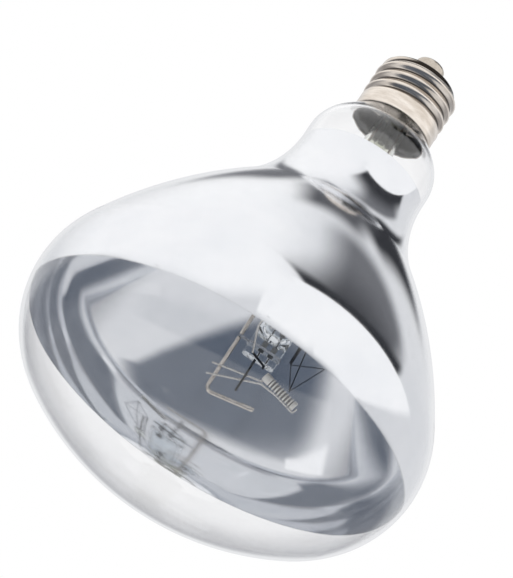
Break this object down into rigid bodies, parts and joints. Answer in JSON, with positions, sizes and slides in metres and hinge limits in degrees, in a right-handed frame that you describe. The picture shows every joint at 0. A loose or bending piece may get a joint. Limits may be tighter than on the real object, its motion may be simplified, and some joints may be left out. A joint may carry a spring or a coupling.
{
  "type": "mercury vapor reptile bulb",
  "caption": "Reflector lamp bulb with a mirror-coated cone, clear domed front, quartz arc tube and ballast filament inside, on a right-hand screw cap.",
  "frame": {"origin": "tip of the centre contact, on the bulb's axis", "axes": "+Z along the bulb's axis from the cap to the clear front; the support rod is on the +X side of the arc tube and the starting resistor is on the -Y side"},
  "size_m": [0.125, 0.125, 0.1656],
  "materials": {
    "clear_glass": "clear blown glass, polished",
    "mirror_film": "vacuum-coated aluminium film",
    "stem_glass": "clear lead glass",
    "nickel_plate": "nickel-plated brass, rolled",
    "cap_glass": "black cap glass",
    "contact_metal": "tinned brass",
    "solder": "tin solder",
    "cement": "baked basing cement",
    "lead_wire": "copper-clad lead wire",
    "nickel_wire": "drawn nickel wire",
    "dark_wire": "dark molybdenum wire",
    "quartz": "clear fused quartz",
    "tungsten": "tungsten",
    "foil": "molybdenum foil",
    "mercury": "liquid mercury",
    "strap_sheet": "nickel sheet",
    "resistor_sleeve": "glazed sleeve over a winding"
  },
  "bodies": {
    "root": {"glass_envelope": "clear_glass", "reflector_coating": "mirror_film", "stem": "stem_glass", "exhaust_tube": "stem_glass", "cap_shell": "nickel_plate", "cap_insulator": "cap_glass", "centre_contact": "contact_metal", "contact_solder": "solder", "shell_solder": "solder", "basing_cement": "cement", "shell_lead": "lead_wire", "contact_lead": "lead_wire", "support_rod": "nickel_wire", "filament_post": "dark_wire", "arc_tube": "quartz", "front_electrode": "tungsten", "rear_electrode": "tungsten", "starting_probe": "tungsten", "seal_foils": "foil", "mercury_bead": "mercury", "rear_strap": "strap_sheet", "front_strap": "strap_sheet", "rear_electrode_lead": "dark_wire", "front_electrode_lead": "dark_wire", "feed_wire": "nickel_wire", "probe_lead": "dark_wire", "starting_resistor": "resistor_sleeve", "resistor_tie_wire": "nickel_wire", "resistor_brace_wire": "nickel_wire", "ballast_filament": "tungsten", "filament_hooks": "dark_wire", "hook_bead": "stem_glass"}
  },
  "joints": []
}
